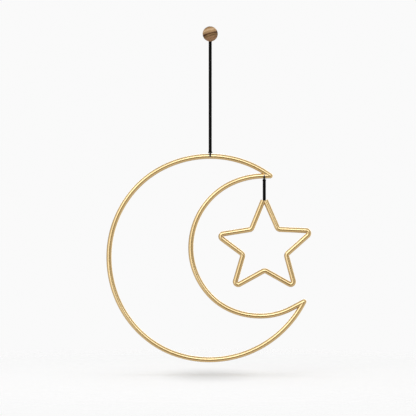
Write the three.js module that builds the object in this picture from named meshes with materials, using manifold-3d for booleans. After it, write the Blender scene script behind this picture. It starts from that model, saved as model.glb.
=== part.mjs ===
// Star and moon wall decor: a crescent moon of two bent brass rods hangs from a wooden knob on a doubled
// black cord, and a star bent from brass tube hangs from the moon's upper tip on a shorter doubled cord.
//
// Millimetres, +Z up. The front faces -Y and the wall is the plane y = 0. The origin lies on the screw's
// axis where the screw enters the wall, and the cords, the moon and the star hang in one plane in front
// of it.

import * as THREE from 'three';
import { mergeVertices } from 'three/addons/utils/BufferGeometryUtils.js';
import Module from 'manifold-3d';

const wasm = await Module();
wasm.setup();

// Sizes that are shared by the pieces
const ROD_DIAMETER = 6.35;         // round section of the moon's rods and of the star's tube
const WALL_CLEARANCE = 2.4;        // from the wall to the back of the moon's rods
const CORD_DIAMETER = 1.7;         // one strand of the black cord
const STRAND_GAP = 0.25;           // between the two strands of a doubled cord
const CORD_HOLE_CLEARANCE = 0.35;  // all round a strand, in the holes drilled front to back for a cord
const SEAT_GAP = 0.3;              // between pieces that touch on the real object

// Knob and its screw
const KNOB_DIAMETER = 18.4;
const KNOB_FLAT_DIAMETER = 12;     // flat turned on the back of the ball
const KNOB_CLEARANCE = 0.7;        // from the knot under the screw to the plane of that flat
const SCREW_DIAMETER = 4;
const SCREW_IN_KNOB = 10;
const SCREW_IN_WALL = 22;
const SCREW_POINT_LENGTH = 5;

// Main cord, from the screw down to the moon
const MAIN_DROP = 148.1;           // from the screw's axis to the hole in the outer arc
const EYE_KNOT_DROP = 5.1;         // from the underside of the screw to the middle of the knot
const EYE_KNOT_WIDTH = 5;
const EYE_KNOT_HEIGHT = 2.6;
const EYE_KNOT_DEPTH = 3.8;
const EYE_THROAT = 0.65;           // straight run of the eye's two legs above the middle of the knot
const MOON_KNOT_WIDTH = 4.8;
const MOON_KNOT_HEIGHT = 2.6;
const MOON_KNOT_DEPTH = 3.8;
const MOON_KNOT_LIFT = 0.4;        // from the rod's top to the knot

// Moon: two arcs that share their tips. Each is bent on one circle, opens out towards one tip on a
// slightly larger circle that it joins smoothly, and ends in a short straight run at each tip.
const OUTER_RADIUS = 123.8;        // of the rod's centreline, as are all radii of the moon
const OUTER_OPENING = 7.2;         // by which the outer arc's larger circle, at its lower end, is larger
const OUTER_OPENING_ANGLE = 291;   // degrees from +X, round by the left, where that circle takes over
const INNER_RADIUS = 83.9;
const INNER_OPENING = 7.6;         // the same for the inner arc, at its upper end
const INNER_OPENING_ANGLE = 140;
const MOUTH_REACH = 21.7;          // of the inner circle past the outer one, where the crescent opens
const MOUTH_ANGLE = 12.5;          // degrees from +X towards the middle of that mouth
const OUTER_UPPER_LEAD = 2;        // straight run of each arc, from the bend to the tip
const INNER_UPPER_LEAD = 8.2;
const OUTER_LOWER_LEAD = 2;
const INNER_LOWER_LEAD = 16.3;

// Star cord, from the inner arc down to the star
const STAR_HOLE_FROM_TIP = 7.2;    // along the inner arc's straight end
const STAR_CORD_DROP = 26.4;       // from the hole to where the centrelines of the star's two ends cross
const STAR_KNOT_WIDTH = 4;
const STAR_KNOT_HEIGHT = 2.6;
const STAR_KNOT_DEPTH = 3.8;
const STAR_KNOT_LIFT = 0.5;        // from the rod's underside to the knot
const END_KNOT_HEIGHT = 1.3;       // of the knot that holds the cord's two ends in the star's socket

// Star: one tube, bent at every corner but the apex, where its two square ends are joined
const STAR_WALL = 0.8;
const STAR_CLEARANCE = 22.9;       // by which the star's reach is less than the inner arc's radius
const STAR_APEX_EXTRA = -0.2;      // of the crossing of the ends' centrelines past the star's reach
const STAR_POINT_EXTRA = [1, -0.2, 0.5, -0.6];          // right, lower right, lower left and left point
const STAR_POINT_ANGLE = [19.2, -52.6, -128, -194.9];   // degrees from +X
const STAR_LEAN = 0.6;             // of the middle of the star to the right of its cord
const STAR_INNER_REACH = 27.5;     // from the middle of the star to each inner corner
const STAR_POINT_BEND = 3.4;       // centreline radius of the folds at the points
const STAR_INNER_BEND = 4.3;       // and of the inner corners
const STAR_END_SETBACK = 3.7;      // from the crossing of the centrelines to each square end
const STAR_END_CLOSURE = 2;        // thickness of metal that closes each end
const STAR_SOCKET_DEPTH = 1.7;     // of the cord's socket, below the notch between the two ends
const STAR_VENT_DIAMETER = 1.6;    // hole from the socket's floor on into the hollow of the tube

// Angles between the corners of a five-pointed star, in degrees
const APEX_ANGLE = 90;
const CORNER_STEP = 72;
const FIRST_INNER_ANGLE = APEX_ANGLE - CORNER_STEP / 2;

// Fineness of the faceted surfaces
const ROD_SIDES = 16;
const BORE_SIDES = 10;
const CORD_SIDES = 8;
const HOLE_SIDES = 16;
const SCREW_SIDES = 16;
const KNOB_SIDES = 28;
const KNOB_RINGS = 14;
const BALL_SIDES = 14;             // of the knots and of the moon's round tips
const BALL_RINGS = 8;
const EYE_STEPS = 12;
const ARC_STEP = 5;                // degrees a step along the moon's arcs
const BEND_STEP = 20;              // degrees a step in the star's corners
const CORD_STEP = 5;               // millimetres a step along a straight cord
const HITCH_ROD_ANGLES = [5, 25, 45, 60];    // degrees of the way round a rod, before the hole's rim
const HITCH_RIM_ANGLES = [0, 30, 60, 90];    // degrees of the way over the rim into the hole

const ROD_RADIUS = ROD_DIAMETER / 2;
const CORD_RADIUS = CORD_DIAMETER / 2;
const CORD_HOLE_RADIUS = CORD_RADIUS + CORD_HOLE_CLEARANCE;
const STRAND_OFFSET = (CORD_DIAMETER + STRAND_GAP) / 2;
const HANG_Y = -(WALL_CLEARANCE + ROD_RADIUS);
const MOON_HOLE_Z = -MAIN_DROP;
const MOON_Z = MOON_HOLE_Z - OUTER_RADIUS;
const TO_RADIANS = Math.PI / 180;

const BRASS = { color: 0xc9a264, roughness: 0.32, metalness: 1 };
const BLACK_CORD = { color: 0x1a1916, roughness: 0.85, metalness: 0 };
const WOOD = { color: 0xa9825a, roughness: 0.6, metalness: 0 };
const STEEL = { color: 0xa8a8a4, roughness: 0.35, metalness: 1 };

// Geometry helpers

// A curve through given points whose steps fall on exactly those points.
class SampledPath extends THREE.Curve {
  constructor(points) {
    super();
    this.points = points;
  }

  getPoint(t, target = new THREE.Vector3()) {
    const place = t * (this.points.length - 1);
    const i = Math.min(Math.floor(place), this.points.length - 2);
    return target.lerpVectors(this.points[i], this.points[i + 1], place - i);
  }

  getUtoTmapping(u) {
    return u;
  }
}

function roundSection(radius, sides) {
  const corners = [];
  for (let i = 0; i < sides; i++) {
    const angle = (i + 0.5) * 2 * Math.PI / sides;
    corners.push(new THREE.Vector2(radius * Math.cos(angle), radius * Math.sin(angle)));
  }
  return new THREE.Shape(corners);
}

function sweep(points, radius, sides) {
  return new THREE.ExtrudeGeometry(roundSection(radius, sides), {
    steps: points.length - 1,
    extrudePath: new SampledPath(points),
  });
}

function toSolid(geometry) {
  const bare = geometry.clone();
  bare.deleteAttribute('normal');
  bare.deleteAttribute('uv');
  const merged = mergeVertices(bare, 1e-4);
  return new wasm.Manifold(new wasm.Mesh({
    numProp: 3,
    vertProperties: new Float32Array(merged.attributes.position.array),
    triVerts: new Uint32Array(merged.index.array),
  }));
}

function toGeometry(solid) {
  const mesh = solid.getMesh();
  const geometry = new THREE.BufferGeometry();
  geometry.setAttribute('position', new THREE.BufferAttribute(new Float32Array(mesh.vertProperties), 3));
  geometry.setIndex(new THREE.BufferAttribute(new Uint32Array(mesh.triVerts), 1));
  geometry.computeVertexNormals();
  return geometry;
}

function ellipsoid(center, width, depth, height) {
  const ball = new THREE.SphereGeometry(1, BALL_SIDES, BALL_RINGS);
  ball.rotateX(Math.PI / 2);
  ball.scale(width / 2, depth / 2, height / 2);
  ball.translate(center.x, center.y, center.z);
  return toSolid(ball);
}

// A hole for a cord, through a rod from front to back.
function cordHole(x, z) {
  const cutter = new THREE.CylinderGeometry(CORD_HOLE_RADIUS, CORD_HOLE_RADIUS, 2 * ROD_DIAMETER, HOLE_SIDES);
  cutter.translate(x, HANG_Y, z);
  return toSolid(cutter);
}

// A block whose near face passes through a point and looks back against the given direction. It is larger
// than the wedge in which two rods meet.
function mitreCutter(point, direction) {
  const size = 8 * ROD_DIAMETER;
  const block = new THREE.BoxGeometry(size, size, size);
  block.translate(size / 2, 0, 0);
  block.rotateY(-Math.atan2(direction.y, direction.x));
  block.translate(point.x, HANG_Y, point.y);
  return toSolid(block);
}

function inHangPlane(x, z) {
  return new THREE.Vector3(x, HANG_Y, z);
}

// Moon

function toward(angle) {
  return new THREE.Vector2(1, 0).rotateAround(new THREE.Vector2(), angle * TO_RADIANS);
}

// A larger circle that touches the given one from outside, at an angle in degrees.
function openedCircle({ center, radius }, opening, angle) {
  return { center: center.clone().addScaledVector(toward(angle), -opening), radius: radius + opening };
}

const centerDistance = OUTER_RADIUS - INNER_RADIUS + MOUTH_REACH;
const outerCircle = { center: new THREE.Vector2(0, MOON_Z), radius: OUTER_RADIUS };
const innerCircle = {
  center: outerCircle.center.clone().addScaledVector(toward(MOUTH_ANGLE), centerDistance),
  radius: INNER_RADIUS,
};
const outerOpened = openedCircle(outerCircle, OUTER_OPENING, OUTER_OPENING_ANGLE);
const innerOpened = openedCircle(innerCircle, INNER_OPENING, INNER_OPENING_ANGLE);

// A tip lies where the straight end of one arc meets the straight end of the other.
function findTip(outer, outerLead, inner, innerLead, upper) {
  const outerReach = Math.hypot(outer.radius, outerLead);
  const innerReach = Math.hypot(inner.radius, innerLead);
  const between = inner.center.clone().sub(outer.center);
  const distance = between.length();
  const along = (outerReach ** 2 - innerReach ** 2 + distance ** 2) / (2 * distance);
  const aside = Math.sqrt(outerReach ** 2 - along ** 2) * (upper ? 1 : -1);
  const forward = between.normalize();
  const sideways = new THREE.Vector2(-forward.y, forward.x);
  return outer.center.clone().addScaledVector(forward, along).addScaledVector(sideways, aside);
}

const upperTip = findTip(outerCircle, OUTER_UPPER_LEAD, innerOpened, INNER_UPPER_LEAD, true);
const lowerTip = findTip(outerOpened, OUTER_LOWER_LEAD, innerCircle, INNER_LOWER_LEAD, false);

// Points round a circle between two angles in radians.
function roundCircle({ center, radius }, from, to) {
  const steps = Math.round((to - from) / (ARC_STEP * TO_RADIANS));
  const points = [];
  for (let i = 0; i <= steps; i++) {
    const angle = from + (to - from) * i / steps;
    points.push(inHangPlane(center.x + radius * Math.cos(angle), center.y + radius * Math.sin(angle)));
  }
  return points;
}

// Points of an arc from the upper tip, round through the left, to the lower tip. The arc changes from its
// upper circle to its lower one at the given angle, in degrees.
function arcPoints(upperCircle, upperLead, changeAngle, lowerCircle, lowerLead) {
  const upper = upperTip.clone().sub(upperCircle.center);
  const lower = lowerTip.clone().sub(lowerCircle.center);
  const start = Math.atan2(upper.y, upper.x) + Math.atan2(upperLead, upperCircle.radius);
  const end = Math.atan2(lower.y, lower.x) + 2 * Math.PI - Math.atan2(lowerLead, lowerCircle.radius);
  const change = changeAngle * TO_RADIANS;
  return [
    inHangPlane(upperTip.x, upperTip.y),
    ...roundCircle(upperCircle, start, change).slice(0, -1),
    ...roundCircle(lowerCircle, change, end),
    inHangPlane(lowerTip.x, lowerTip.y),
  ];
}

const outerPoints = arcPoints(
  outerCircle, OUTER_UPPER_LEAD, OUTER_OPENING_ANGLE, outerOpened, OUTER_LOWER_LEAD);
const innerPoints = arcPoints(
  innerOpened, INNER_UPPER_LEAD, INNER_OPENING_ANGLE, innerCircle, INNER_LOWER_LEAD);

// Unit direction in which an arc leaves a tip, in the XZ plane.
function leaving(tip, next) {
  return new THREE.Vector2(next.x - tip.x, next.z - tip.y).normalize();
}

// A rod with round ends, mitred against the other rod at both tips.
function moonRod(points, otherPoints) {
  const last = points.length - 1;
  let rod = toSolid(sweep(points, ROD_RADIUS, ROD_SIDES));
  const ends = [
    { tip: upperTip, own: points[1], other: otherPoints[1] },
    { tip: lowerTip, own: points[last - 1], other: otherPoints[otherPoints.length - 2] },
  ];
  for (const { tip, own, other } of ends) {
    rod = rod.add(ellipsoid(inHangPlane(tip.x, tip.y), ROD_DIAMETER, ROD_DIAMETER, ROD_DIAMETER));
    const away = leaving(tip, other).sub(leaving(tip, own)).normalize();
    rod = rod.subtract(mitreCutter(tip.clone().addScaledVector(away, -SEAT_GAP / 2), away));
  }
  return rod;
}

function buildOuterArc() {
  const rod = moonRod(outerPoints, innerPoints);
  return toGeometry(rod.subtract(cordHole(0, MOON_HOLE_Z)));
}

const starHole = upperTip.clone().addScaledVector(leaving(upperTip, innerPoints[1]), STAR_HOLE_FROM_TIP);

function buildInnerArc() {
  const rod = moonRod(innerPoints, outerPoints);
  return toGeometry(rod.subtract(cordHole(starHole.x, starHole.y)));
}

// Knob and screw

const KNOB_RADIUS = KNOB_DIAMETER / 2;
const KNOB_BACK_Y = HANG_Y - EYE_KNOT_DEPTH / 2 - KNOB_CLEARANCE;
const KNOB_CENTER_Y = KNOB_BACK_Y - Math.sqrt(KNOB_RADIUS ** 2 - (KNOB_FLAT_DIAMETER / 2) ** 2);

function buildKnob() {
  const boreRadius = SCREW_DIAMETER / 2 + SEAT_GAP;
  const boreBottom = KNOB_BACK_Y - SCREW_IN_KNOB - SEAT_GAP;
  const profile = [
    new THREE.Vector2(0, boreBottom),
    new THREE.Vector2(boreRadius, boreBottom),
    new THREE.Vector2(boreRadius, KNOB_BACK_Y),
  ];
  const start = Math.asin(KNOB_FLAT_DIAMETER / KNOB_DIAMETER);
  for (let i = 0; i < KNOB_RINGS; i++) {
    const angle = start + (Math.PI - start) * i / KNOB_RINGS;
    const y = KNOB_CENTER_Y + KNOB_RADIUS * Math.cos(angle);
    profile.push(new THREE.Vector2(KNOB_RADIUS * Math.sin(angle), y));
  }
  profile.push(new THREE.Vector2(0, KNOB_CENTER_Y - KNOB_RADIUS));
  return new THREE.LatheGeometry(profile.reverse(), KNOB_SIDES);
}

function buildScrew() {
  const radius = SCREW_DIAMETER / 2;
  const profile = [
    new THREE.Vector2(0, KNOB_BACK_Y - SCREW_IN_KNOB),
    new THREE.Vector2(radius, KNOB_BACK_Y - SCREW_IN_KNOB),
    new THREE.Vector2(radius, SCREW_IN_WALL - SCREW_POINT_LENGTH),
    new THREE.Vector2(0, SCREW_IN_WALL),
  ];
  return new THREE.LatheGeometry(profile, SCREW_SIDES);
}

// Main cord

const EYE_KNOT_Z = -(SCREW_DIAMETER / 2 + EYE_KNOT_DROP);
const STRAND_TOP_Z = EYE_KNOT_Z - EYE_KNOT_HEIGHT / 2 - SEAT_GAP;
const MOON_KNOT_Z = MOON_HOLE_Z + ROD_RADIUS + MOON_KNOT_LIFT + MOON_KNOT_HEIGHT / 2;
const STRAND_END_Z = MOON_KNOT_Z + MOON_KNOT_HEIGHT / 2 + SEAT_GAP;

// The eye round the bare screw: two straight legs out of the knot, tangent to a turn round the screw.
function eyePoints() {
  const turnRadius = SCREW_DIAMETER / 2 + SEAT_GAP + CORD_RADIUS;
  const throatZ = EYE_KNOT_Z + EYE_THROAT;
  const throatDistance = Math.hypot(STRAND_OFFSET, throatZ);
  const throatAngle = Math.atan2(throatZ, STRAND_OFFSET);
  const start = throatAngle + Math.acos(turnRadius / throatDistance);
  const end = Math.PI - start;
  const points = [inHangPlane(STRAND_OFFSET, EYE_KNOT_Z), inHangPlane(STRAND_OFFSET, throatZ)];
  for (let i = 0; i <= EYE_STEPS; i++) {
    const angle = start + (end - start) * i / EYE_STEPS;
    points.push(inHangPlane(turnRadius * Math.cos(angle), turnRadius * Math.sin(angle)));
  }
  points.push(inHangPlane(-STRAND_OFFSET, throatZ), inHangPlane(-STRAND_OFFSET, EYE_KNOT_Z));
  return points;
}

function buildEye() {
  const knot = ellipsoid(inHangPlane(0, EYE_KNOT_Z), EYE_KNOT_WIDTH, EYE_KNOT_DEPTH, EYE_KNOT_HEIGHT);
  return toGeometry(toSolid(sweep(eyePoints(), CORD_RADIUS, CORD_SIDES)).add(knot));
}

function straightPoints(x, topZ, bottomZ) {
  const steps = Math.max(1, Math.round((topZ - bottomZ) / CORD_STEP));
  const points = [];
  for (let i = 0; i <= steps; i++) {
    points.push(inHangPlane(x, topZ + (bottomZ - topZ) * i / steps));
  }
  return points;
}

function buildStrand(x) {
  return sweep(straightPoints(x, STRAND_TOP_Z, STRAND_END_Z), CORD_RADIUS, CORD_SIDES);
}

// Half of a cord's way round a rod and into its hole, as distances from the hole's middle: out along the
// wall's normal, and away along the side that the cord's knot is on. It starts beside the middle of the
// knot, at the given distance, and ends in the middle of the hole.
function roundTheRod(knotAway) {
  const turn = CORD_RADIUS + SEAT_GAP;
  const rimOut = Math.sqrt(ROD_RADIUS ** 2 - CORD_HOLE_RADIUS ** 2);
  const reachOut = rimOut + turn;
  const half = [];
  for (const degrees of HITCH_ROD_ANGLES) {
    const angle = degrees * TO_RADIANS;
    const away = CORD_HOLE_RADIUS + (knotAway - CORD_HOLE_RADIUS) * Math.cos(angle);
    half.push({ out: reachOut * Math.sin(angle), away });
  }
  for (const degrees of HITCH_RIM_ANGLES) {
    const angle = degrees * TO_RADIANS;
    half.push({ out: rimOut + turn * Math.cos(angle), away: CORD_HOLE_RADIUS - turn * Math.sin(angle) });
  }
  half.push({ out: 0, away: CORD_HOLE_RADIUS - turn });
  return half;
}

// The hitch at the moon: out of the knot, down the front of the rod, through the hole and up behind it.
function buildMoonKnot() {
  const half = roundTheRod(MOON_KNOT_Z - MOON_HOLE_Z);
  const place = (side) => ({ out, away }) => new THREE.Vector3(0, HANG_Y + side * out, MOON_HOLE_Z + away);
  const front = half.map(place(-1));
  const back = half.slice(0, -1).map(place(1));
  const loop = toSolid(sweep([...front, ...back.reverse()], CORD_RADIUS, CORD_SIDES));
  const knot = ellipsoid(inHangPlane(0, MOON_KNOT_Z), MOON_KNOT_WIDTH, MOON_KNOT_DEPTH, MOON_KNOT_HEIGHT);
  return toGeometry(loop.add(knot));
}

// Star

const starReach = INNER_RADIUS - STAR_CLEARANCE;
const starApex = new THREE.Vector2(starHole.x, starHole.y - STAR_CORD_DROP);
const starCenter = new THREE.Vector2(starApex.x + STAR_LEAN, starApex.y - starReach - STAR_APEX_EXTRA);

function fromStar(reach, angle) {
  return new THREE.Vector2(
    starCenter.x + reach * Math.cos(angle * TO_RADIANS),
    starCenter.y + reach * Math.sin(angle * TO_RADIANS));
}

function innerCorner(i) {
  return fromStar(STAR_INNER_REACH, FIRST_INNER_ANGLE - CORNER_STEP * i);
}

// The star's corners from the apex round by the right and back to the apex.
function starCorners() {
  const corners = [{ at: starApex, bend: 0 }];
  for (let i = 0; i < STAR_POINT_ANGLE.length; i++) {
    corners.push({ at: innerCorner(i), bend: STAR_INNER_BEND });
    const reach = starReach + STAR_POINT_EXTRA[i];
    corners.push({ at: fromStar(reach, STAR_POINT_ANGLE[i]), bend: STAR_POINT_BEND });
  }
  corners.push({ at: innerCorner(STAR_POINT_ANGLE.length), bend: STAR_INNER_BEND });
  corners.push({ at: starApex, bend: 0 });
  return corners;
}

// Points along the corners, with each corner rounded to its bend.
function roundedPath(corners) {
  const points = [corners[0].at];
  for (let i = 1; i < corners.length - 1; i++) {
    const { at, bend } = corners[i];
    const back = corners[i - 1].at.clone().sub(at).normalize();
    const on = corners[i + 1].at.clone().sub(at).normalize();
    const half = Math.acos(back.dot(on)) / 2;
    const middle = back.clone().add(on).normalize().multiplyScalar(bend / Math.sin(half)).add(at);
    const from = back.clone().multiplyScalar(bend / Math.tan(half)).add(at).sub(middle);
    const turn = (Math.PI - 2 * half) * Math.sign(on.x * back.y - on.y * back.x);
    const steps = Math.ceil(Math.abs(turn) / (BEND_STEP * TO_RADIANS));
    for (let k = 0; k <= steps; k++) {
      points.push(from.clone().rotateAround(new THREE.Vector2(), turn * k / steps).add(middle));
    }
  }
  points.push(corners[corners.length - 1].at);
  return points;
}

// The same path with a length taken off both of its ends.
function shortened(points, setback) {
  const cut = (end, next) => end.clone().add(next.clone().sub(end).setLength(setback));
  const last = points.length - 1;
  return [cut(points[0], points[1]), ...points.slice(1, last), cut(points[last], points[last - 1])];
}

// The tube's two ends overlap at the apex, so its first leg is swept by itself and then joined.
function starSweep(setback, radius, sides) {
  const path = shortened(roundedPath(starCorners()), setback).map((p) => inHangPlane(p.x, p.y));
  const legMiddle = path[0].clone().lerp(path[1], 0.5);
  const firstLeg = toSolid(sweep([path[0], legMiddle], radius, sides));
  return firstLeg.add(toSolid(sweep([legMiddle, ...path.slice(1)], radius, sides)));
}

const firstInner = innerCorner(0);
const apexHalfAngle = Math.atan2(firstInner.x - starApex.x, starApex.y - firstInner.y);
const socketRadius = STRAND_OFFSET + CORD_RADIUS + SEAT_GAP;
const notchZ = starApex.y - STAR_END_SETBACK / Math.cos(apexHalfAngle);
const socketFloorZ = notchZ - STAR_SOCKET_DEPTH;
const hollowTopZ = starApex.y - (STAR_END_SETBACK + STAR_END_CLOSURE) / Math.cos(apexHalfAngle);

// A round hole drilled down along the seam between the tube's two ends.
function seamHole(radius, bottomZ) {
  const topZ = starApex.y;
  const cutter = new THREE.CylinderGeometry(radius, radius, topZ - bottomZ, HOLE_SIDES);
  cutter.rotateX(Math.PI / 2);
  cutter.translate(starApex.x, HANG_Y, (topZ + bottomZ) / 2);
  return toSolid(cutter);
}

function buildStar() {
  const rod = starSweep(STAR_END_SETBACK, ROD_RADIUS, ROD_SIDES);
  const hollow = starSweep(STAR_END_SETBACK + STAR_END_CLOSURE, ROD_RADIUS - STAR_WALL, BORE_SIDES);
  const socket = seamHole(socketRadius, socketFloorZ);
  const vent = seamHole(STAR_VENT_DIAMETER / 2, hollowTopZ - STAR_VENT_DIAMETER / 2);
  return toGeometry(rod.subtract(hollow).subtract(socket).subtract(vent));
}

// Star cord. Its hitch at the moon: out of the knot, up the front of the rod, through the hole and down
// behind it. The two halves spread to the places of the two strands on their way to the knot.
const starKnotAway = ROD_RADIUS + STAR_KNOT_LIFT + STAR_KNOT_HEIGHT / 2;
const starKnotZ = starHole.y - starKnotAway;

function buildStarKnot() {
  const half = roundTheRod(starKnotAway);
  const place = (side) => ({ out, away }) => {
    const aside = STRAND_OFFSET * Math.min(1, away / starKnotAway);
    return new THREE.Vector3(starHole.x + side * aside, HANG_Y + side * out, starHole.y - away);
  };
  const front = half.slice(0, -1).map(place(-1));
  const back = half.slice(0, -1).map(place(1));
  const middle = new THREE.Vector3(starHole.x, HANG_Y, starHole.y - half[half.length - 1].away);
  const loop = toSolid(sweep([...front, middle, ...back.reverse()], CORD_RADIUS, CORD_SIDES));
  const knot = ellipsoid(
    inHangPlane(starHole.x, starKnotZ), STAR_KNOT_WIDTH, STAR_KNOT_DEPTH, STAR_KNOT_HEIGHT);
  return toGeometry(loop.add(knot));
}

// The two strands down to the end knot in the star's socket.
function buildStarStrands() {
  const topZ = starKnotZ - STAR_KNOT_HEIGHT / 2 - SEAT_GAP;
  const endKnotZ = socketFloorZ + SEAT_GAP + END_KNOT_HEIGHT / 2;
  const endKnotWidth = 2 * (socketRadius - SEAT_GAP);
  let strands = ellipsoid(inHangPlane(starHole.x, endKnotZ), endKnotWidth, endKnotWidth, END_KNOT_HEIGHT);
  for (const side of [-1, 1]) {
    const points = straightPoints(starHole.x + side * STRAND_OFFSET, topZ, endKnotZ);
    strands = strands.add(toSolid(sweep(points, CORD_RADIUS, CORD_SIDES)));
  }
  return toGeometry(strands);
}

// Assembly

const decor = new THREE.Group();

function addPiece(name, geometry, finish) {
  const mesh = new THREE.Mesh(geometry, new THREE.MeshStandardMaterial(finish));
  mesh.name = name;
  decor.add(mesh);
}

addPiece('wooden_knob', buildKnob(), WOOD);
addPiece('hanger_screw', buildScrew(), STEEL);
addPiece('main_cord_eye', buildEye(), BLACK_CORD);
addPiece('main_cord_left_strand', buildStrand(-STRAND_OFFSET), BLACK_CORD);
addPiece('main_cord_right_strand', buildStrand(STRAND_OFFSET), BLACK_CORD);
addPiece('main_cord_knot', buildMoonKnot(), BLACK_CORD);
addPiece('moon_outer_arc', buildOuterArc(), BRASS);
addPiece('moon_inner_arc', buildInnerArc(), BRASS);
addPiece('star_cord_knot', buildStarKnot(), BLACK_CORD);
addPiece('star_cord_strands', buildStarStrands(), BLACK_CORD);
addPiece('star_tube', buildStar(), BRASS);

export default decor;
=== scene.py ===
"""Looks of the star and moon wall decor: fine brass rods, laid cords, a grained wooden knob and a
threaded screw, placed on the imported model. A length is in millimetres where nothing says metres."""

import math

import bmesh
import bpy
from mathutils import Matrix, Vector


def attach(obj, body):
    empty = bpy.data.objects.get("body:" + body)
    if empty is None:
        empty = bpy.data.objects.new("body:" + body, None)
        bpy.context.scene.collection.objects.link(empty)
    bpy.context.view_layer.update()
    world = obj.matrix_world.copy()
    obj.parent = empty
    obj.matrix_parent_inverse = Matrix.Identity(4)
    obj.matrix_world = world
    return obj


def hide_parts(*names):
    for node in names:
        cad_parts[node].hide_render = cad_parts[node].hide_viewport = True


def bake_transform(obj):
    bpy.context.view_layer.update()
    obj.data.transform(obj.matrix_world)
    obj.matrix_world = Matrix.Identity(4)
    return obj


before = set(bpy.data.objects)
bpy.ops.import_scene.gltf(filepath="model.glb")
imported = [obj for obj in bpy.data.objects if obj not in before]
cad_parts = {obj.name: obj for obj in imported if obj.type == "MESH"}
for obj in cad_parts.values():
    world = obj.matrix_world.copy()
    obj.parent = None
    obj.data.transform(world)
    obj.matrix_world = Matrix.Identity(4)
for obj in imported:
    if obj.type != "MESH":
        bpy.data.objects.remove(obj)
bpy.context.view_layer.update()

# Sizes of the part, as its source gives them
ROD_RADIUS = 3.175
HANG_Y = -5.575
CORD_RADIUS = 0.85
STRAND_OFFSET = 0.975
CORD_HOLE_RADIUS = 1.2
SEAT_GAP = 0.3

KNOB_RADIUS = 9.2
KNOB_FLAT_RADIUS = 6
KNOB_BACK_Y = -8.175
KNOB_CENTER_Y = KNOB_BACK_Y - math.sqrt(KNOB_RADIUS ** 2 - KNOB_FLAT_RADIUS ** 2)
SCREW_RADIUS = 2
SCREW_FRONT_Y = -18.175
SCREW_TIP_Y = 22
SCREW_POINT_LENGTH = 5

EYE_KNOT_Z = -7.1
EYE_KNOT_SIZE = (5, 3.8, 2.6)
EYE_THROAT = 0.65
MOON_HOLE_Z = -148.1
MOON_KNOT_Z = -143.225
STRAND_TOP_Z = -8.7
STRAND_END_Z = -141.625

OUTER_CENTER = (0, -271.9)
OUTER_RADIUS = 123.8
OUTER_OPENING = 7.2
OUTER_OPENING_ANGLE = 291
INNER_CENTER = (60.1398, -258.5673)
INNER_RADIUS = 83.9
INNER_OPENING = 7.6
INNER_OPENING_ANGLE = 140
UPPER_TIP = (72.9434, -171.8515)
LOWER_TIP = (114.0278, -324.9072)
OUTER_UPPER_LEAD = 2
INNER_UPPER_LEAD = 8.2
OUTER_LOWER_LEAD = 2
INNER_LOWER_LEAD = 16.3

STAR_HOLE = (65.744, -171.9473)
STAR_KNOT_AWAY = 4.975
STAR_APEX = (65.744, -198.3473)
STAR_CENTER = (66.344, -259.1473)
STAR_POINT_REACH = (62, 60.8, 61.5, 60.4)
STAR_POINT_ANGLE = (19.2, -52.6, -128, -194.9)
STAR_INNER_REACH = 27.5
STAR_FIRST_INNER_ANGLE = 54
STAR_CORNER_STEP = 72
STAR_POINT_BEND = 3.4
STAR_INNER_BEND = 4.3
STAR_END_SETBACK = 3.7
SOCKET_RADIUS = 2.125
SOCKET_DEPTH = 1.7
END_KNOT_HEIGHT = 1.3


# Small helpers

def metres(point):
    return Vector(point) / 1000


def in_plane(x, z):
    return Vector((x, HANG_Y, z))


def polar(center, reach, degrees):
    angle = math.radians(degrees)
    return (center[0] + reach * math.cos(angle), center[1] + reach * math.sin(angle))


def smoothstep(value, low, high):
    t = min(1, max(0, (value - low) / (high - low)))
    return t * t * (3 - 2 * t)


def placed(name, data):
    """A new object in the scene."""
    thing = bpy.data.objects.new(name, data)
    bpy.context.scene.collection.objects.link(thing)
    return thing


# Camera. The photograph is square, and its scale holds in the plane in which the moon hangs.

PIXEL = 1.216
PHOTO_PIXELS = 416
ORIGIN_PIXEL = (210.2, 34.45)
CAMERA_DISTANCE = 3000
SENSOR = 36
CLIP_METRES = (0.05, 50)

camera_data = bpy.data.cameras.new("camera")
camera_data.sensor_width = SENSOR
camera_data.lens = SENSOR * CAMERA_DISTANCE / (PHOTO_PIXELS * PIXEL)
camera_data.clip_start, camera_data.clip_end = CLIP_METRES
camera = placed("camera", camera_data)
middle_x = (PHOTO_PIXELS / 2 - ORIGIN_PIXEL[0]) * PIXEL
middle_z = (ORIGIN_PIXEL[1] - PHOTO_PIXELS / 2) * PIXEL
camera.location = metres((middle_x, HANG_Y - CAMERA_DISTANCE, middle_z))
camera.rotation_euler = (math.pi / 2, 0, 0)
bpy.context.scene.camera = camera


# Node trees

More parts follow.
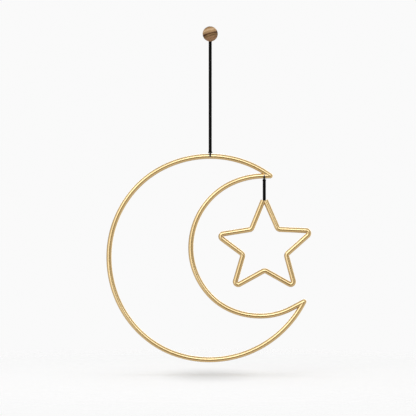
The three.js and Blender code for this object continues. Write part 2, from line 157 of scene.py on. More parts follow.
class Tree:
    """The nodes of a material or of the world. Most methods add a node and give its output. What
    goes into a node is a number, a colour, a vector or another node's output."""

    def __init__(self, owner):
        owner.use_nodes = True
        self.nodes = owner.node_tree.nodes
        self.links = owner.node_tree.links

    def feed(self, node, inputs):
        """Sets or links inputs, from pairs of an input's name or number and what goes into it."""
        for key, value in dict(inputs).items():
            socket = node.inputs[key]
            if isinstance(value, bpy.types.NodeSocket):
                self.links.new(value, socket)
            elif socket.type == "RGBA":
                socket.default_value = (*value, 1)
            else:
                socket.default_value = value

    def add(self, kind, inputs=()):
        node = self.nodes.new(kind)
        self.feed(node, inputs)
        return node

    def coordinates(self, name):
        return self.add("ShaderNodeTexCoord").outputs[name]

    def lay(self):
        """Millimetres along a rod or cord and across its section, as if it were laid straight."""
        node = self.add("ShaderNodeAttribute")
        node.attribute_name = "lay"
        return node.outputs["Vector"]

    def math(self, operation, *values):
        node = self.add("ShaderNodeMath")
        node.operation = operation
        self.feed(node, enumerate(values))
        return node.outputs[0]

    def vector(self, operation, *values):
        node = self.add("ShaderNodeVectorMath")
        node.operation = operation
        self.feed(node, enumerate(values))
        return node.outputs["Value" if operation in ("LENGTH", "DOT_PRODUCT") else "Vector"]

    def scaled(self, vector, *scale):
        return self.vector("MULTIPLY", vector, scale)

    def noise(self, vector, scale, detail, roughness, distortion=0):
        return self.add("ShaderNodeTexNoise", {
            "Vector": vector, "Scale": scale, "Detail": detail, "Roughness": roughness,
            "Distortion": distortion}).outputs[0]

    def span(self, value, source, target, interpolation="LINEAR"):
        """The value moved from one range of numbers to another."""
        node = self.add("ShaderNodeMapRange", enumerate((value, *source, *target)))
        node.interpolation_type = interpolation
        return node.outputs[0]

    def ramp(self, value, stops):
        node = self.add("ShaderNodeValToRGB", {0: value})
        elements = node.color_ramp.elements
        while len(elements) < len(stops):
            elements.new(0.5)
        for element, (place, color) in zip(elements, stops):
            element.position = place
            element.color = (*color, 1)
        return node.outputs[0]

    def mix(self, factor, a, b, blend="MIX"):
        node = self.add("ShaderNodeMix")
        node.data_type = "RGBA"
        node.blend_type = blend
        self.feed(node, {0: factor, 6: a, 7: b})
        return node.outputs[2]

    def shaders(self, factor, one, other):
        return self.add("ShaderNodeMixShader", enumerate((factor, one, other))).outputs[0]

    def bump(self, height, strength, distance):
        return self.add("ShaderNodeBump", {
            "Height": height, "Strength": strength, "Distance": distance}).outputs[0]


def new_material(name):
    material = bpy.data.materials.new(name)
    tree = Tree(material)
    return material, tree, tree.nodes["Principled BSDF"]


# Materials. The distance of a bump is in metres.

BRASS_TONES = ((0.3, (0.61, 0.413, 0.158)), (0.7, (0.66, 0.45, 0.182)))
CORD_TONES = ((0.3, (0.0022, 0.0021, 0.0018)), (0.72, (0.006, 0.0056, 0.0048)))
STEEL_TONES = ((0.3, (0.52, 0.52, 0.50)), (0.7, (0.66, 0.66, 0.65)))
# From the bottom of the ball to its top: darker towards the bottom, a pale band a little above the
# middle that is the wood's light tone with a painted highlight on it, and painted shade at the very
# top
WOOD_TONES_AND_PAINTED_LIGHT = (
    (0.00, (0.33, 0.19, 0.10)), (0.14, (0.38, 0.215, 0.115)), (0.24, (0.31, 0.17, 0.085)),
    (0.31, (0.40, 0.225, 0.12)), (0.37, (0.15, 0.09, 0.033)), (0.42, (0.31, 0.18, 0.082)),
    (0.47, (0.24, 0.13, 0.06)), (0.50, (0.085, 0.036, 0.015)), (0.53, (0.10, 0.043, 0.018)),
    (0.56, (0.33, 0.195, 0.095)), (0.62, (0.47, 0.295, 0.155)), (0.68, (0.44, 0.27, 0.13)),
    (0.76, (0.62, 0.43, 0.26)), (0.84, (0.50, 0.315, 0.165)), (0.91, (0.36, 0.215, 0.10)),
    (0.97, (0.20, 0.11, 0.05)),
)
WOOD_DARK_ENDS = (0.055, 0.02, 0.008)
GRAIN_TILT_DEGREES = (5.7, 17, 0)
GRAIN_LIFT = 2.3
GRAIN_WAVE = (-0.5, 0.5)
# The darker ends of the band: its height, how far from that it fades, and how far out it sets in
BAND_HEIGHT = 0.25
BAND_FADE = (0.5, 2)
DARK_ENDS_REACH = (4.2, 8)
DARK_ENDS_MOST = 0.9


def make_brass():
    """Satin brass, drawn along the rod, under a thin clear lacquer."""
    material, tree, shader = new_material("satin_brass")
    lay = tree.lay()
    fine = tree.noise(tree.scaled(lay, 0.05, 3.2, 3.2), scale=1.6, detail=3, roughness=0.55)
    coarse = tree.noise(tree.scaled(lay, 0.018, 0.9, 0.9), scale=1.3, detail=2, roughness=0.5)
    patch = tree.noise(lay, scale=0.045, detail=3, roughness=0.5)
    streak = tree.span(fine, (0.3, 0.7), (0.93, 1.04))
    tree.feed(shader, {
        "Base Color": tree.mix(1, tree.ramp(patch, BRASS_TONES), streak, "MULTIPLY"),
        "Metallic": 1,
        "Roughness": tree.span(coarse, (0.25, 0.75), (0.21, 0.28)),
        "Specular Tint": (0.8, 0.68, 0.45),
        "Coat Weight": 1,
        "Coat IOR": 1.7,
        "Coat Roughness": 0.13,
        "Normal": tree.bump(fine, strength=0.04, distance=0.00006),
    })
    return material


def make_cord():
    """Black waxed cotton: matt, with fibres along the twist."""
    material, tree, shader = new_material("black_waxed_cord")
    lay = tree.lay()
    fibre = tree.noise(tree.scaled(lay, 0.9, 5, 5), scale=2.2, detail=4, roughness=0.6)
    wear = tree.noise(lay, scale=0.35, detail=3, roughness=0.6)
    dust = tree.span(wear, (0.35, 0.75), (0.9, 1.25))
    tree.feed(shader, {
        "Base Color": tree.mix(1, tree.ramp(fibre, CORD_TONES), dust, "MULTIPLY"),
        "Roughness": tree.span(fibre, (0.3, 0.7), (0.62, 0.8)),
        "Specular IOR Level": 0.06,
        "Normal": tree.bump(fibre, strength=0.5, distance=0.00012),
    })
    return material


def make_wood():
    """A light turned wood, darker below, with a painted highlight a little above the middle and
    painted shade along the top, and one dark wavy band of grain across the ball, darker where the
    band runs out at the sides."""
    material, tree, shader = new_material("turned_wood")
    grain = tree.add("ShaderNodeMapping", {
        "Vector": tree.coordinates("Object"),
        "Rotation": [math.radians(degrees) for degrees in GRAIN_TILT_DEGREES],
        "Location": (0, 0, GRAIN_LIFT),
        "Scale": (1000, 1000, 1000),
    }).outputs[0]
    across, _, up = tree.add("ShaderNodeSeparateXYZ", {0: grain}).outputs
    wave = tree.noise(tree.scaled(grain, 0.16, 0.12, 0.25), scale=1, detail=3, roughness=0.55)
    height = tree.math("ADD", up, tree.span(wave, (0.2, 0.8), GRAIN_WAVE))
    # The ramp by height paints a highlight a little above the middle and shade at the top of the
    # ball.
    tones_and_painted_light = tree.ramp(tree.span(height, (-KNOB_RADIUS, KNOB_RADIUS), (0, 1)), WOOD_TONES_AND_PAINTED_LIGHT)
    off_band = tree.math("ABSOLUTE", tree.math("SUBTRACT", height, BAND_HEIGHT))
    at_ends = tree.span(tree.math("ABSOLUTE", across), DARK_ENDS_REACH, (0, DARK_ENDS_MOST))
    darker_ends = tree.math("MULTIPLY", tree.span(off_band, BAND_FADE, (1, 0)), at_ends)
    fibre = tree.noise(tree.scaled(grain, 0.22, 0.22, 2.6), scale=1, detail=6, roughness=0.62,
                       distortion=0.3)
    streaks = tree.noise(tree.scaled(grain, 0.12, 0.12, 0.8), scale=1, detail=2, roughness=0.5)
    pores = tree.noise(tree.scaled(grain, 1.1, 1.1, 9), scale=1, detail=2, roughness=0.5)
    shade = tree.math("MULTIPLY", tree.span(fibre, (0.3, 0.72), (0.72, 1.14)),
                      tree.span(streaks, (0.3, 0.7), (0.86, 1.1)))
    tree.feed(shader, {
        "Base Color": tree.mix(1, tree.mix(darker_ends, tones_and_painted_light, WOOD_DARK_ENDS), shade, "MULTIPLY"),
        "Roughness": tree.span(fibre, (0.3, 0.7), (0.58, 0.74)),
        "Specular IOR Level": 0.12,
        "Normal": tree.bump(pores, strength=0.12, distance=0.00008),
    })
    return material


def make_steel():
    """Bright zinc plating with faint turning marks."""
    material, tree, shader = new_material("zinc_plated_steel")
    place = tree.coordinates("Object")
    marks = tree.noise(tree.scaled(place, 400, 6000, 400), scale=1, detail=3, roughness=0.5)
    bloom = tree.noise(tree.scaled(place, 260, 260, 260), scale=1, detail=4, roughness=0.6)
    tree.feed(shader, {
        "Base Color": tree.ramp(bloom, STEEL_TONES),
        "Metallic": 1,
        "Roughness": tree.span(marks, (0.3, 0.7), (0.26, 0.42)),
        "Normal": tree.bump(marks, strength=0.15, distance=0.00003),
    })
    return material


# For each of the record's slots, its material and the degrees from which an edge shows as sharp
LOOKS = {
    "brass": (make_brass(), 40),
    "cord": (make_cord(), 60),
    "wood": (make_wood(), 50),
    "steel": (make_steel(), 35),
}


# Mesh helpers

ROUND_END_STEPS = 10
NEARLY_ALONG = 0.9
# The yarns of a laid cord, how deep the grooves between them are as a share of its radius, and the
# length of one turn
LOBES = 3
LOBE_DEPTH = 0.06
LAY_LENGTH = 5.2


def finish_piece(mesh, name, slot):
    """A mesh in millimetres made a piece of the scene in metres, with its slot's look."""
    material, sharp_degrees = LOOKS[slot]
    for vertex in mesh.vertices:
        vertex.co /= 1000
    for polygon in mesh.polygons:
        polygon.use_smooth = True
    mesh.set_sharp_from_angle(angle=math.radians(sharp_degrees))
    mesh.materials.clear()
    mesh.materials.append(material)
    piece = placed(name, mesh)
    return piece


def mesh_of(bm, name):
    mesh = bpy.data.meshes.new(name)
    bm.to_mesh(mesh)
    bm.free()
    return mesh


def solid_of(bm, name):
    bmesh.ops.recalc_face_normals(bm, faces=bm.faces)
    return mesh_of(bm, name)


def join_rings(bm, a, b):
    """Faces between two rings of vertices, of which either may be a single vertex."""
    sides = max(len(a), len(b))
    for k in range(sides):
        n = (k + 1) % sides
        corners = [a[k], a[n]] if len(a) > 1 else [a[0]]
        corners += [b[n], b[k]] if len(b) > 1 else [b[0]]
        bm.faces.new(corners)


def angles_round(sides):
    return [2 * math.pi * k / sides for k in range(sides)]


def directions(points):
    """Unit direction of a path at each of its points."""
    found = []
    for i in range(len(points)):
        before = points[max(0, i - 1)]
        after = points[min(len(points) - 1, i + 1)]
        found.append((after - before).normalized())
    return found


def radius_at(radius, point):
    return radius(point) if callable(radius) else radius


def path_rings(points):
    """At each point of a path: the point, its direction, a side that doesn't twist round it, how
    far along the path it is, and the share of the full radius."""
    along = directions(points)
    side = Vector((0, 1, 0))
    if abs(along[0].dot(side)) > NEARLY_ALONG:
        side = Vector((1, 0, 0))
    side = (side - along[0] * side.dot(along[0])).normalized()
    rings = []
    travelled = 0
    for i, point in enumerate(points):
        if i:
            travelled += (point - points[i - 1]).length
            side = (side - along[i] * side.dot(along[i])).normalized()
        rings.append((point, along[i], side.copy(), travelled, 1))
    return rings


def with_round_ends(rings, radius):
    """The rings of a path with more at both ends, which round them off."""
    start, start_way, start_side, start_at, _ = rings[0]
    end, end_way, end_side, end_at, _ = rings[-1]
    head, tail = [], []
    for k in range(1, ROUND_END_STEPS):
        angle = math.pi / 2 * k / ROUND_END_STEPS
        bulge, size = math.sin(angle), math.cos(angle)
        before, after = radius_at(radius, start) * bulge, radius_at(radius, end) * bulge
        head.append((start - start_way * before, start_way, start_side, start_at - before, size))
        tail.append((end + end_way * after, end_way, end_side, end_at + after, size))
    return head[::-1] + rings + tail


def tube_mesh(points, radius, sides, laid=False, round_ends=False):
    """A closed tube along a path, with the section of a laid cord or a plain round one."""
    rings = path_rings(points)
    if round_ends:
        rings = with_round_ends(rings, radius)
    bm = bmesh.new()
    lay = bm.verts.layers.float_vector.new("lay")
    loops = []
    for point, forward, across, distance, size in rings:
        up = forward.cross(across)
        loop = []
        for angle in angles_round(sides):
            reach = radius_at(radius, point) * size
            if laid:
                turn = angle - 2 * math.pi * distance / LAY_LENGTH
                reach *= 1 - LOBE_DEPTH * (1 - abs(math.cos(LOBES / 2 * turn)))
            vertex = bm.verts.new(point + (across * math.cos(angle) + up * math.sin(angle)) * reach)
            vertex[lay] = (distance, reach * math.cos(angle), reach * math.sin(angle))
            loop.append(vertex)
        loops.append(loop)
    for a, b in zip(loops, loops[1:]):
        join_rings(bm, a, b)
    for loop, (point, _, _, distance, _) in ((loops[0], rings[0]), (loops[-1], rings[-1])):
        middle = bm.verts.new(point)
        middle[lay] = (distance, 0, 0)
        join_rings(bm, loop, [middle])
    return solid_of(bm, "tube")


def cylinder_mesh(start, end, radius, sides):
    return tube_mesh([start, (start + end) / 2, end], radius, sides)


def combined(mesh, other, operation):
    """The mesh after an exact union with, or cut by, another closed mesh."""
    body, tool = placed("combined_body", mesh), placed("combined_tool", other)
    modifier = body.modifiers.new("combine", "BOOLEAN")
    modifier.operation = operation
    modifier.solver = "EXACT"
    modifier.object = tool
    graph = bpy.context.evaluated_depsgraph_get()
    result = bpy.data.meshes.new_from_object(body.evaluated_get(graph))
    bpy.data.objects.remove(body)
    bpy.data.objects.remove(tool)
    return result


def cut_by_plane(mesh, point, outward, reach):
    """Takes off what is beyond a plane near a point of it, and closes the mesh again."""
    bm = bmesh.new()
    bm.from_mesh(mesh)
    faces = [f for f in bm.faces if (f.calc_center_median() - point).length < reach]
    edges = {e for f in faces for e in f.edges}
    verts = {v for f in faces for v in f.verts}
    geometry = list(verts) + list(edges) + faces
    cut = bmesh.ops.bisect_plane(bm, geom=geometry, plane_co=point, plane_no=outward,
                                 clear_outer=True)
    rim = [g for g in cut["geom_cut"] if isinstance(g, bmesh.types.BMEdge)]
    bmesh.ops.contextual_create(bm, geom=rim)
    bmesh.ops.recalc_face_normals(bm, faces=bm.faces)
    bm.to_mesh(mesh)
    bm.free()


def resampled(points, step):
    """The same path with points about one step apart."""
    lengths = [(b - a).length for a, b in zip(points, points[1:])]
    total = sum(lengths)
    count = max(2, round(total / step))
    found = []
    i, before = 0, 0
    for k in range(count + 1):
        target = total * k / count
        while i < len(lengths) - 1 and before + lengths[i] < target:
            before += lengths[i]
            i += 1
        share = (target - before) / lengths[i] if lengths[i] else 0
        found.append(points[i].lerp(points[i + 1], min(1, share)))
    return found


# Cords

CORD_SIDES = 18
CORD_STEP = 0.35
STRAND_RADIUS = 1.0
STRAND_SPREAD = 0.93
STRAND_TUCK = 0.5
STRAND_STEPS = 24
EYE_STEPS = 48
LOOP_RADIUS = 1.05
HOLE_FILL_RADIUS = 1.1
# How far from the hang plane a loop changes from the one radius to the other
HOLE_FILL_END = (2, 2.8)
STAR_LOOP_RADIUS = 0.85
STAR_LOOP_SEAT = 0.14
STAR_LOOP_TAPER = 2
STAR_STRAND_STEPS = 12
STAR_STRANDS_PART = 1.6
# Degrees of a cord's turn from its knot over the rod, and of its turn over the hole's edge
OVER_ROD = range(4, 88, 7)
INTO_HOLE = range(0, 91, 15)

WRAP_RADIUS = 0.75
WRAP_TURNS = 1.9
WRAP_START_DEGREES = 130
WRAP_STEPS = 90
WRAP_STEP = 0.25
# The share of their reach by which the turns are tucked in at both ends, and the share of the turns
# over which that goes
WRAP_TUCK = 0.45
WRAP_TUCK_SHARE = 0.07
KNOT_SETTLE = 0.25
MOON_KNOT_TURNS = (5.3, 3.8, 2.6)
MOON_KNOT_SLOPE = 0.36
STAR_KNOT_TURNS = (4.5, 3.8, 2.6)
STAR_KNOT_SLOPE = 0.5
ABOVE_ROD, UNDER_ROD = -1, 1
END_KNOT_FULLER = 0.1


def cord_mesh(points, radius=CORD_RADIUS, step=CORD_STEP):
    return tube_mesh(resampled(points, step), radius, CORD_SIDES, laid=True, round_ends=True)


def wrapped_knot(name, center, size, rod_side=0, slope=0):
    """A barrel knot: the cord taken nearly twice round the strands inside it. The end that lies
    against a rod slopes back to both sides and leaves the rod room to rock."""
    width, depth, height = size
    reach_x, reach_y = width / 2 - WRAP_RADIUS, depth / 2 - WRAP_RADIUS
    rise = height / 2 - WRAP_RADIUS
    points = []
    for i in range(WRAP_STEPS + 1):
        t = i / WRAP_STEPS
        angle = math.radians(WRAP_START_DEGREES) + 2 * math.pi * WRAP_TURNS * t
        tucked = 1 - WRAP_TUCK * (1 - smoothstep(min(t, 1 - t), 0, WRAP_TUCK_SHARE))
        along = 2 * t - 1
        x = reach_x * tucked * math.cos(angle)
        lift = -rod_side * slope * abs(x) * max(0, rod_side * along)
        offset = (x, reach_y * tucked * math.sin(angle), rise * along + lift)
        points.append(Vector(center) + Vector(offset))
    return finish_piece(cord_mesh(points, WRAP_RADIUS, WRAP_STEP), name, "cord")


def round_the_rod(knot_away, seat=SEAT_GAP):
    """Half of a cord's way round a rod and into its hole, as distances out from the hang plane and
    away from the hole's middle, from the knot to the middle of the hole."""
    turn = CORD_RADIUS + seat
    rim_out = math.sqrt(ROD_RADIUS ** 2 - CORD_HOLE_RADIUS ** 2)
    half = []
    for degrees in OVER_ROD:
        angle = math.radians(degrees)
        away = CORD_HOLE_RADIUS + (knot_away - CORD_HOLE_RADIUS) * math.cos(angle)
        half.append(((rim_out + turn) * math.sin(angle), away))
    for degrees in INTO_HOLE:
        angle = math.radians(degrees)
        half.append((rim_out + turn * math.cos(angle), CORD_HOLE_RADIUS - turn * math.sin(angle)))
    return half


def loop_radius(point):
    """The moon's loop is a little thicker in the hole, which it fills, than round the rod."""
    outside = smoothstep(abs(point.y - HANG_Y), *HOLE_FILL_END)
    return HOLE_FILL_RADIUS + (LOOP_RADIUS - HOLE_FILL_RADIUS) * outside


def eye_points():
    """From the knot up one side, round the screw and down the other side."""
    turn_radius = SCREW_RADIUS + SEAT_GAP + CORD_RADIUS
    throat_z = EYE_KNOT_Z + EYE_THROAT
    distance = math.hypot(STRAND_OFFSET, throat_z)
    start = math.atan2(throat_z, STRAND_OFFSET) + math.acos(turn_radius / distance)
    end = math.pi - start
    points = [in_plane(STRAND_OFFSET, EYE_KNOT_Z), in_plane(STRAND_OFFSET, throat_z)]
    for i in range(EYE_STEPS + 1):
        angle = start + (end - start) * i / EYE_STEPS
        points.append(in_plane(turn_radius * math.cos(angle), turn_radius * math.sin(angle)))
    return points + [in_plane(-STRAND_OFFSET, throat_z), in_plane(-STRAND_OFFSET, EYE_KNOT_Z)]


main_eye = finish_piece(cord_mesh(eye_points()), "main_cord_turn", "cord")
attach(main_eye, "cord_eye")
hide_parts("main_cord_eye")
eye_knot = wrapped_knot("main_cord_upper_knot", (0, HANG_Y, EYE_KNOT_Z), EYE_KNOT_SIZE)
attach(eye_knot, "cord_eye")

moon_half = round_the_rod(MOON_KNOT_Z - MOON_HOLE_Z)
front = [Vector((0, HANG_Y - out, MOON_HOLE_Z + away)) for out, away in moon_half]
back = [Vector((0, HANG_Y + out, MOON_HOLE_Z + away)) for out, away in moon_half]
moon_loop = finish_piece(cord_mesh(front + back[::-1], loop_radius), "main_cord_loop", "cord")
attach(moon_loop, "cord_knot")
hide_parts("main_cord_knot")
moon_knot = wrapped_knot("main_cord_lower_knot", (0, HANG_Y, MOON_KNOT_Z - KNOT_SETTLE),
                         MOON_KNOT_TURNS, ABOVE_ROD, MOON_KNOT_SLOPE)
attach(moon_knot, "cord_knot")

# Each main strand is a laid cord hanging straight between the two knots.
for word, side in (("left", -1), ("right", 1)):
    top, bottom = STRAND_TOP_Z + STRAND_TUCK, STRAND_END_Z - STRAND_TUCK
    points = [in_plane(side * STRAND_SPREAD, top + (bottom - top) * i / STRAND_STEPS)
              for i in range(STRAND_STEPS + 1)]
    strand = finish_piece(cord_mesh(points, STRAND_RADIUS), "main_cord_strand_" + word, "cord")
    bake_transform(strand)
    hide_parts(f"main_cord_{word}_strand")

# The star's cord: up one strand, round the rod through its hole, and down the other strand.
star_half = round_the_rod(STAR_KNOT_AWAY, STAR_LOOP_SEAT)
star_knot_z = STAR_HOLE[1] - STAR_KNOT_AWAY
first_inner = polar(STAR_CENTER, STAR_INNER_REACH, STAR_FIRST_INNER_ANGLE)
apex_half_angle = math.atan2(first_inner[0] - STAR_APEX[0], STAR_APEX[1] - first_inner[1])
notch_z = STAR_APEX[1] - STAR_END_SETBACK / math.cos(apex_half_angle)
socket_floor_z = notch_z - SOCKET_DEPTH
end_knot_z = socket_floor_z + SEAT_GAP + END_KNOT_HEIGHT / 2


def star_cord_side(side):
    """From the socket up one strand and round the rod to the middle of the hole."""
    strand_x = STAR_HOLE[0] + side * STRAND_SPREAD
    points = [in_plane(strand_x, end_knot_z + (star_knot_z - end_knot_z) * i / STAR_STRAND_STEPS)
              for i in range(STAR_STRAND_STEPS + 1)]
    for out, away in star_half:
        aside = STRAND_SPREAD * smoothstep(away, STAR_KNOT_AWAY - STAR_STRANDS_PART, STAR_KNOT_AWAY)
        points.append(Vector((
            STAR_HOLE[0] + side * aside, HANG_Y + side * out, STAR_HOLE[1] - away)))
    return points


def star_cord_radius(point):
    above_knot = smoothstep(point.z, star_knot_z, star_knot_z + STAR_LOOP_TAPER)
    return STRAND_RADIUS + (STAR_LOOP_RADIUS - STRAND_RADIUS) * above_knot


star_path = resampled(star_cord_side(-1) + star_cord_side(1)[::-1], CORD_STEP)
star_cord = finish_piece(cord_mesh(star_path, star_cord_radius), "star_cord", "cord")
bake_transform(star_cord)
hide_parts("star_cord_strands")
star_knot = wrapped_knot("star_cord_knot_turns", (STAR_HOLE[0], HANG_Y, star_knot_z),
                         STAR_KNOT_TURNS, UNDER_ROD, STAR_KNOT_SLOPE)
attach(star_knot, "star_knot")
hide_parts("star_cord_knot")
end_width = 2 * (SOCKET_RADIUS - SEAT_GAP)
end_knot = wrapped_knot("star_cord_end_knot", (STAR_HOLE[0], HANG_Y, end_knot_z),
                        (end_width, end_width, END_KNOT_HEIGHT + END_KNOT_FULLER))
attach(end_knot, "star_cord")


# Moon

ROD_SIDES = 40
HOLE_SIDES = 32
ARC_STEP_DEGREES = 1.5
MITRE_REACH = 40
# Where the hand-bent rods leave their circles: the angle and the width of the wave in degrees, and
# how far it reaches out
OUTER_WAVES = ((129, 18, 0.55), (187, 24, -0.85), (240, 16, 0.4), (279, 18, -0.35))
INNER_WAVES = ((121, 18, 0.42), (168, 20, -0.4), (233, 13, 0.36), (266, 12, -0.22))


def opened_circle(center, radius, opening, degrees):
    """A circle that is larger by the opening and touches the first one at an angle."""
    return polar(center, -opening, degrees), radius + opening


def round_circle(circle, start, end):
    """Points round a circle between two angles in degrees."""
    center, radius = circle
    steps = round((end - start) / ARC_STEP_DEGREES)
    return [in_plane(*polar(center, radius, start + (end - start) * i / steps))
            for i in range(steps + 1)]


def angle_of(tip, center):
    return math.degrees(math.atan2(tip[1] - center[1], tip[0] - center[0]))


def arc_points(upper_circle, upper_lead, change, lower_circle, lower_lead):
    """From the upper tip, round by the left, to the lower tip."""
    upper_turn = math.degrees(math.atan2(upper_lead, upper_circle[1]))
    lower_turn = math.degrees(math.atan2(lower_lead, lower_circle[1]))
    start = angle_of(UPPER_TIP, upper_circle[0]) + upper_turn
    end = angle_of(LOWER_TIP, lower_circle[0]) + 360 - lower_turn
    points = [in_plane(*UPPER_TIP)]
    points += round_circle(upper_circle, start, change)[:-1]
    points += round_circle(lower_circle, change, end)
    return points + [in_plane(*LOWER_TIP)]


def as_bent(points, center, waves):
    """The same way round, moved in or out by the waves."""
    found = []
    for point in points:
        spoke = point - in_plane(*center)
        angle = math.degrees(math.atan2(spoke.z, spoke.x)) % 360
        out = sum(reach * math.exp(-((angle - at) / width) ** 2) for at, width, reach in waves)
        found.append(point + spoke.normalized() * out)
    return found


outer_circle = (OUTER_CENTER, OUTER_RADIUS)
inner_circle = (INNER_CENTER, INNER_RADIUS)
outer_opened = opened_circle(*outer_circle, OUTER_OPENING, OUTER_OPENING_ANGLE)
inner_opened = opened_circle(*inner_circle, INNER_OPENING, INNER_OPENING_ANGLE)
outer_arc = arc_points(outer_circle, OUTER_UPPER_LEAD, OUTER_OPENING_ANGLE,
                       outer_opened, OUTER_LOWER_LEAD)
inner_arc = arc_points(inner_opened, INNER_UPPER_LEAD, INNER_OPENING_ANGLE,
                       inner_circle, INNER_LOWER_LEAD)
outer_points = as_bent(outer_arc, OUTER_CENTER, OUTER_WAVES)
inner_points = as_bent(inner_arc, INNER_CENTER, INNER_WAVES)


def hole_mesh(x, z):
    start, end = Vector((x, HANG_Y - 2 * ROD_RADIUS, z)), Vector((x, HANG_Y + 2 * ROD_RADIUS, z))
    return cylinder_mesh(start, end, CORD_HOLE_RADIUS, HOLE_SIDES)


def moon_rod(name, own, other, hole, node):
    """A rod mitred against the other rod at both tips and drilled for its cord."""
    mesh = tube_mesh(own, ROD_RADIUS, ROD_SIDES, round_ends=True)
    for tip, own_next, other_next in ((own[0], own[1], other[1]), (own[-1], own[-2], other[-2])):
        outward = (other_next - tip).normalized() - (own_next - tip).normalized()
        cut_by_plane(mesh, tip, outward.normalized(), MITRE_REACH)
    mesh = combined(mesh, hole_mesh(*hole), "DIFFERENCE")
    piece = finish_piece(mesh, name, "brass")
    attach(piece, "moon")
    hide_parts(node)


moon_rod("moon_outer_rod", outer_points, inner_points, (0, MOON_HOLE_Z), "moon_outer_arc")
moon_rod("moon_inner_rod", inner_points, outer_points, STAR_HOLE, "moon_inner_arc")


# Star

BEND_STEP_DEGREES = 6
SOCKET_CUT_ABOVE = 2


def star_corners():
    """Each corner in the plane, with the radius of its bend on the tube's middle line, from the
    apex round by the right."""
    corners = [(Vector(STAR_APEX), 0)]
    for i in range(5):
        inner = polar(STAR_CENTER, STAR_INNER_REACH, STAR_FIRST_INNER_ANGLE - STAR_CORNER_STEP * i)
        corners.append((Vector(inner), STAR_INNER_BEND))
        if i < 4:
            point = polar(STAR_CENTER, STAR_POINT_REACH[i], STAR_POINT_ANGLE[i])
            corners.append((Vector(point), STAR_POINT_BEND))
    return corners + [(Vector(STAR_APEX), 0)]


def rounded(corners):
    """The way through the corners with each one but the first and last bent to its radius."""
    points = [corners[0][0]]
    for i in range(1, len(corners) - 1):
        at, bend = corners[i]
        back = (corners[i - 1][0] - at).normalized()
        ahead = (corners[i + 1][0] - at).normalized()
        half = math.acos(back.dot(ahead)) / 2
        middle = at + (back + ahead).normalized() * (bend / math.sin(half))
        spoke = at + back * (bend / math.tan(half)) - middle
        turn = math.copysign(math.pi - 2 * half, ahead.x * back.y - ahead.y * back.x)
        steps = math.ceil(abs(turn) / math.radians(BEND_STEP_DEGREES))
        for k in range(steps + 1):
            points.append(middle + Matrix.Rotation(turn * k / steps, 2) @ spoke)
    points.append(corners[-1][0])
    return points


def star_mesh():
    """The tube, its two square ends joined at the apex, with its cord's socket in the joint."""
    flat = rounded(star_corners())
    flat[0] = flat[0] + (flat[1] - flat[0]).normalized() * STAR_END_SETBACK
    flat[-1] = flat[-1] + (flat[-2] - flat[-1]).normalized() * STAR_END_SETBACK
    path = [in_plane(*p) for p in flat]
    leg_middle = path[0].lerp(path[1], 0.5)
    first_part = [path[0], path[0].lerp(leg_middle, 0.5), leg_middle]
    first_leg = tube_mesh(first_part, ROD_RADIUS, ROD_SIDES)
    rest = tube_mesh([leg_middle] + path[1:], ROD_RADIUS, ROD_SIDES)
    whole = combined(first_leg, rest, "UNION")
    socket_top = in_plane(STAR_APEX[0], STAR_APEX[1] + SOCKET_CUT_ABOVE)
    socket_floor = in_plane(STAR_APEX[0], socket_floor_z)
    socket = cylinder_mesh(socket_top, socket_floor, SOCKET_RADIUS, HOLE_SIDES)
    return combined(whole, socket, "DIFFERENCE")


star = finish_piece(star_mesh(), "star_bent_tube", "brass")
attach(star, "star")
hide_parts("star_tube")


# Knob and screw, both turned about the screw's axis

KNOB_SIDES = 72
KNOB_STEPS = 44
KNOB_EDGE = 0.35
KNOB_EDGE_RADIANS = 0.03

SCREW_SIDES = 28
SCREW_STEP = 0.12
THREAD_PITCH = 1.5
THREAD_ROOT_RADIUS = 1.45
# Half of a crest's width at its foot, as a share of the pitch
THREAD_CREST = 0.24
THREAD_RUNOUT = 0.8
PLAIN_SHANK = (-8.4, 0.6)
SHANK_UNDERSIZE = 0.05
# Shares of the full radius: at the front end, gained there in each millimetre, and at the point
FRONT_SHARE = 0.72
FRONT_SLOPE = 0.5
POINT_SHARE = 0.04


def knob_profile():
    """Pairs of radius and y, from the bottom of the screw's hole by the flat back to the front."""
    bore_radius = SCREW_RADIUS + SEAT_GAP
    bore_bottom = SCREW_FRONT_Y - SEAT_GAP
    profile = [(0, bore_bottom), (bore_radius, bore_bottom), (bore_radius, KNOB_BACK_Y - KNOB_EDGE),
               (bore_radius + KNOB_EDGE, KNOB_BACK_Y), (KNOB_FLAT_RADIUS - KNOB_EDGE, KNOB_BACK_Y)]
    start = math.asin(KNOB_FLAT_RADIUS / KNOB_RADIUS) + KNOB_EDGE_RADIANS
    for i in range(KNOB_STEPS):
        angle = start + (math.pi - start) * i / KNOB_STEPS
        radius, y = KNOB_RADIUS * math.sin(angle), KNOB_CENTER_Y + KNOB_RADIUS * math.cos(angle)
        profile.append((radius, y))
    return profile + [(0, KNOB_CENTER_Y - KNOB_RADIUS)]


def turned_mesh(name, rows, sides, close_first=False):
    """A solid from rows of a y and a radius at each angle. A row without radii is one point on the
    axis. A first row with radii needs closing with a face of its own."""
    bm = bmesh.new()
    loops = []
    for y, radii in rows:
        round_axis = zip(radii, angles_round(sides)) if radii else [(0, 0)]
        loops.append([bm.verts.new((radius * math.cos(angle), y, radius * math.sin(angle)))
                      for radius, angle in round_axis])
    for a, b in zip(loops, loops[1:]):
        join_rings(bm, a, b)
    if close_first:
        bm.faces.new(loops[0])
    return solid_of(bm, name)


